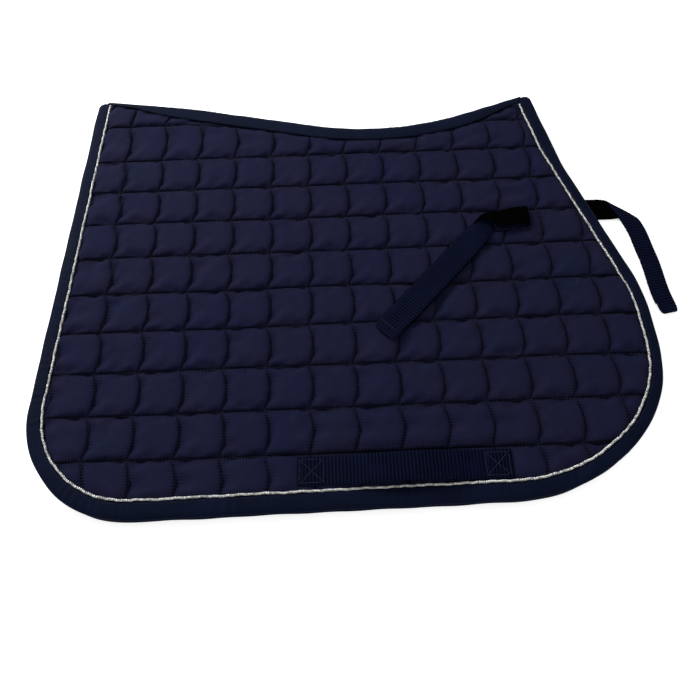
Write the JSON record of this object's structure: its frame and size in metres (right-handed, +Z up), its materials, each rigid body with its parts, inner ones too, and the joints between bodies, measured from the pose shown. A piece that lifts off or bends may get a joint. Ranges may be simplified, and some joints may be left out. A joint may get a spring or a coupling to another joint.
{
  "type": "saddle pad",
  "caption": "Quilted saddle pad folded along its spine, with piped and bound edges, webbing girth loops and hook-and-loop front straps.",
  "frame": {"origin": "on the resting plane, under the middle of the left flap, which is the lower one of the folded pad", "axes": "+X towards the horse's head, +Y towards the spine, +Z up through the folded pad"},
  "size_m": [0.7218, 0.5614, 0.0258],
  "materials": {
    "cover": "matt cotton twill",
    "lining": "matt cotton",
    "wadding": "fluffy polyester wadding",
    "binding": "satin-woven tape",
    "piping": "metallic silver twisted cord",
    "webbing": "ribbed polypropylene webbing",
    "hook_tape": "fuzzy hook-and-loop tape",
    "thread": "polyester sewing thread"
  },
  "bodies": {
    "left_flap": {"left_cover": "cover", "left_wadding": "wadding", "left_lining": "lining", "left_binding": "binding", "left_piping": "piping", "left_quilting_thread": "thread", "left_binding_stitching": "thread", "left_girth_loop": "webbing", "left_girth_loop_stitching": "thread", "left_strap_base": "webbing", "left_strap_stitching": "thread", "spine_tape": "binding", "spine_inner_tape": "binding", "spine_stitching": "thread", "right_cover_top": "cover", "right_wadding_top": "wadding", "right_lining_top": "lining", "right_binding_top": "binding", "right_piping_top": "piping", "right_quilting_thread_top": "thread", "right_binding_stitching_top": "thread"},
    "right_flap": {"right_cover": "cover", "right_wadding": "wadding", "right_lining": "lining", "right_binding": "binding", "right_piping": "piping", "right_quilting_thread": "thread", "right_binding_stitching": "thread", "right_girth_loop": "webbing", "right_girth_loop_stitching": "thread", "right_strap_base": "webbing", "right_strap_stitching": "thread"},
    "left_strap": {"left_strap_tail": "webbing", "left_strap_hook_tape": "hook_tape"},
    "right_strap": {"right_strap_tail": "webbing", "right_strap_hook_tape": "hook_tape"}
  },
  "joints": [
    {"name": "flap_lift", "type": "hinge", "parent": "left_flap", "child": "right_flap", "pos_m": [0, 0.199, 0.017], "axis": [-1, 0, 0], "range_deg": [0, 110]},
    {"name": "right_strap_unfold", "type": "hinge", "parent": "right_flap", "child": "right_strap", "pos_m": [0.251, 0.064, 0.023], "axis": [0, 1, 0], "range_deg": [0, 150]},
    {"name": "left_strap_lift", "type": "hinge", "parent": "left_flap", "child": "left_strap", "pos_m": [0.349, 0.087, 0.0018], "axis": [0, -1, 0], "range_deg": [0, 100]}
  ]
}
